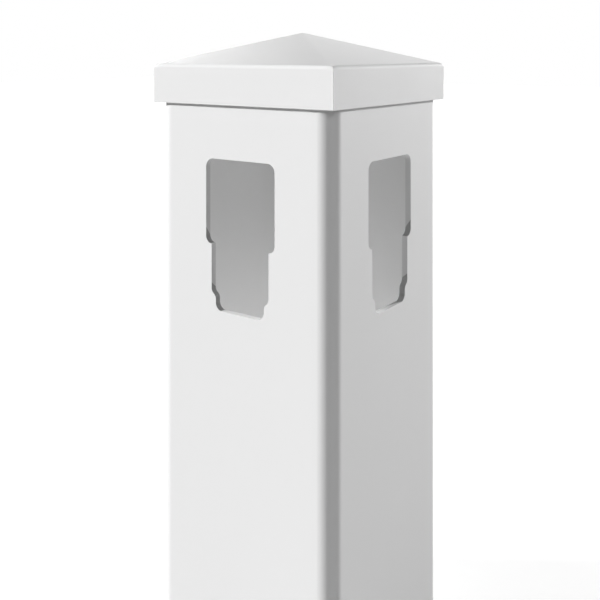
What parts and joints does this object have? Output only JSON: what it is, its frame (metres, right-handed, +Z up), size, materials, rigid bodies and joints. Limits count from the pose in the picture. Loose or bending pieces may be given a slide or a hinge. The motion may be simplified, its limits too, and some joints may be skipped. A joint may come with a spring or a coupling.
{
  "type": "fence post cap",
  "caption": "Hollow pyramid cap sleeved over the top of a square vinyl corner post, with a T-shaped rail pocket routed through two neighbouring post walls.",
  "frame": {"origin": "centre of the post section's level lower end, where it stands", "axes": "+Z up the post towards the cap's peak, -Y out of the front rail pocket, +X out of the side rail pocket"},
  "size_m": [0.1324, 0.1324, 0.3829],
  "materials": {
    "post_vinyl": "satin white extruded PVC",
    "cap_vinyl": "satin white moulded PVC"
  },
  "bodies": {
    "post": {"post_section": "post_vinyl"},
    "cap": {"post_cap": "cap_vinyl"}
  },
  "joints": [
    {"name": "cap_lift", "type": "slide", "parent": "post", "child": "cap", "axis": [0, 0, 1], "range_m": [0, 0.06]}
  ]
}
